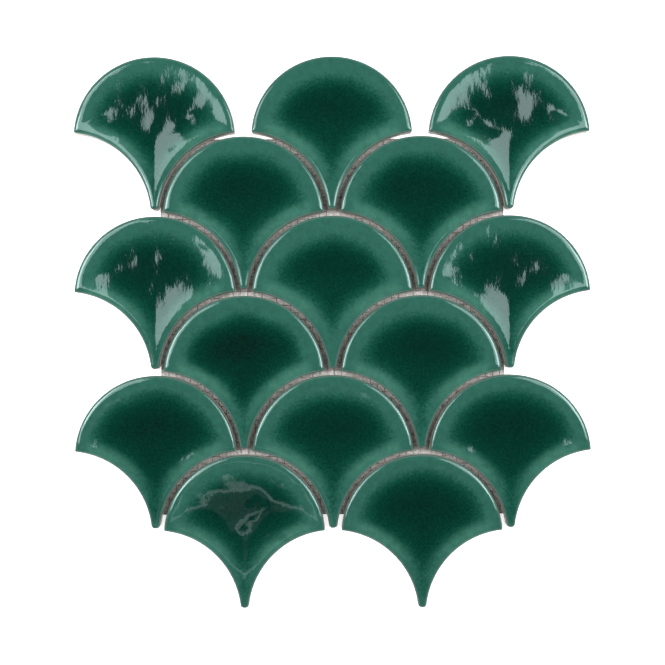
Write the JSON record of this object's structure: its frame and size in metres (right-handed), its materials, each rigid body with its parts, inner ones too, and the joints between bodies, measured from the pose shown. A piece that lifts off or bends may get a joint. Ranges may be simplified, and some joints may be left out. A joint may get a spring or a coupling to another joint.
{
  "type": "mosaic tile",
  "caption": "Sheet of mosaic in green glazed ceramic: interlocking fan tiles with dished faces and rolled rims, spaced for grout and glued to a net backing.",
  "frame": {"origin": "middle of the sheet's bounding box, on the underside of the net", "axes": "+Z out of the glazed face, +Y up the rows towards the round heads, +X across the rows"},
  "size_m": [0.2556, 0.2732, 0.0074],
  "materials": {
    "green_glaze": "gloss",
    "backing_net": "matte"
  },
  "bodies": {
    "root": {"fan_tile_r1_c1": "green_glaze", "fan_tile_r1_c2": "green_glaze", "fan_tile_r1_c3": "green_glaze", "fan_tile_r2_c1": "green_glaze", "fan_tile_r2_c2": "green_glaze", "fan_tile_r3_c1": "green_glaze", "fan_tile_r3_c2": "green_glaze", "fan_tile_r3_c3": "green_glaze", "fan_tile_r4_c1": "green_glaze", "fan_tile_r4_c2": "green_glaze", "fan_tile_r5_c1": "green_glaze", "fan_tile_r5_c2": "green_glaze", "fan_tile_r5_c3": "green_glaze", "fan_tile_r6_c1": "green_glaze", "fan_tile_r6_c2": "green_glaze", "mesh_backing": "backing_net"}
  },
  "joints": []
}
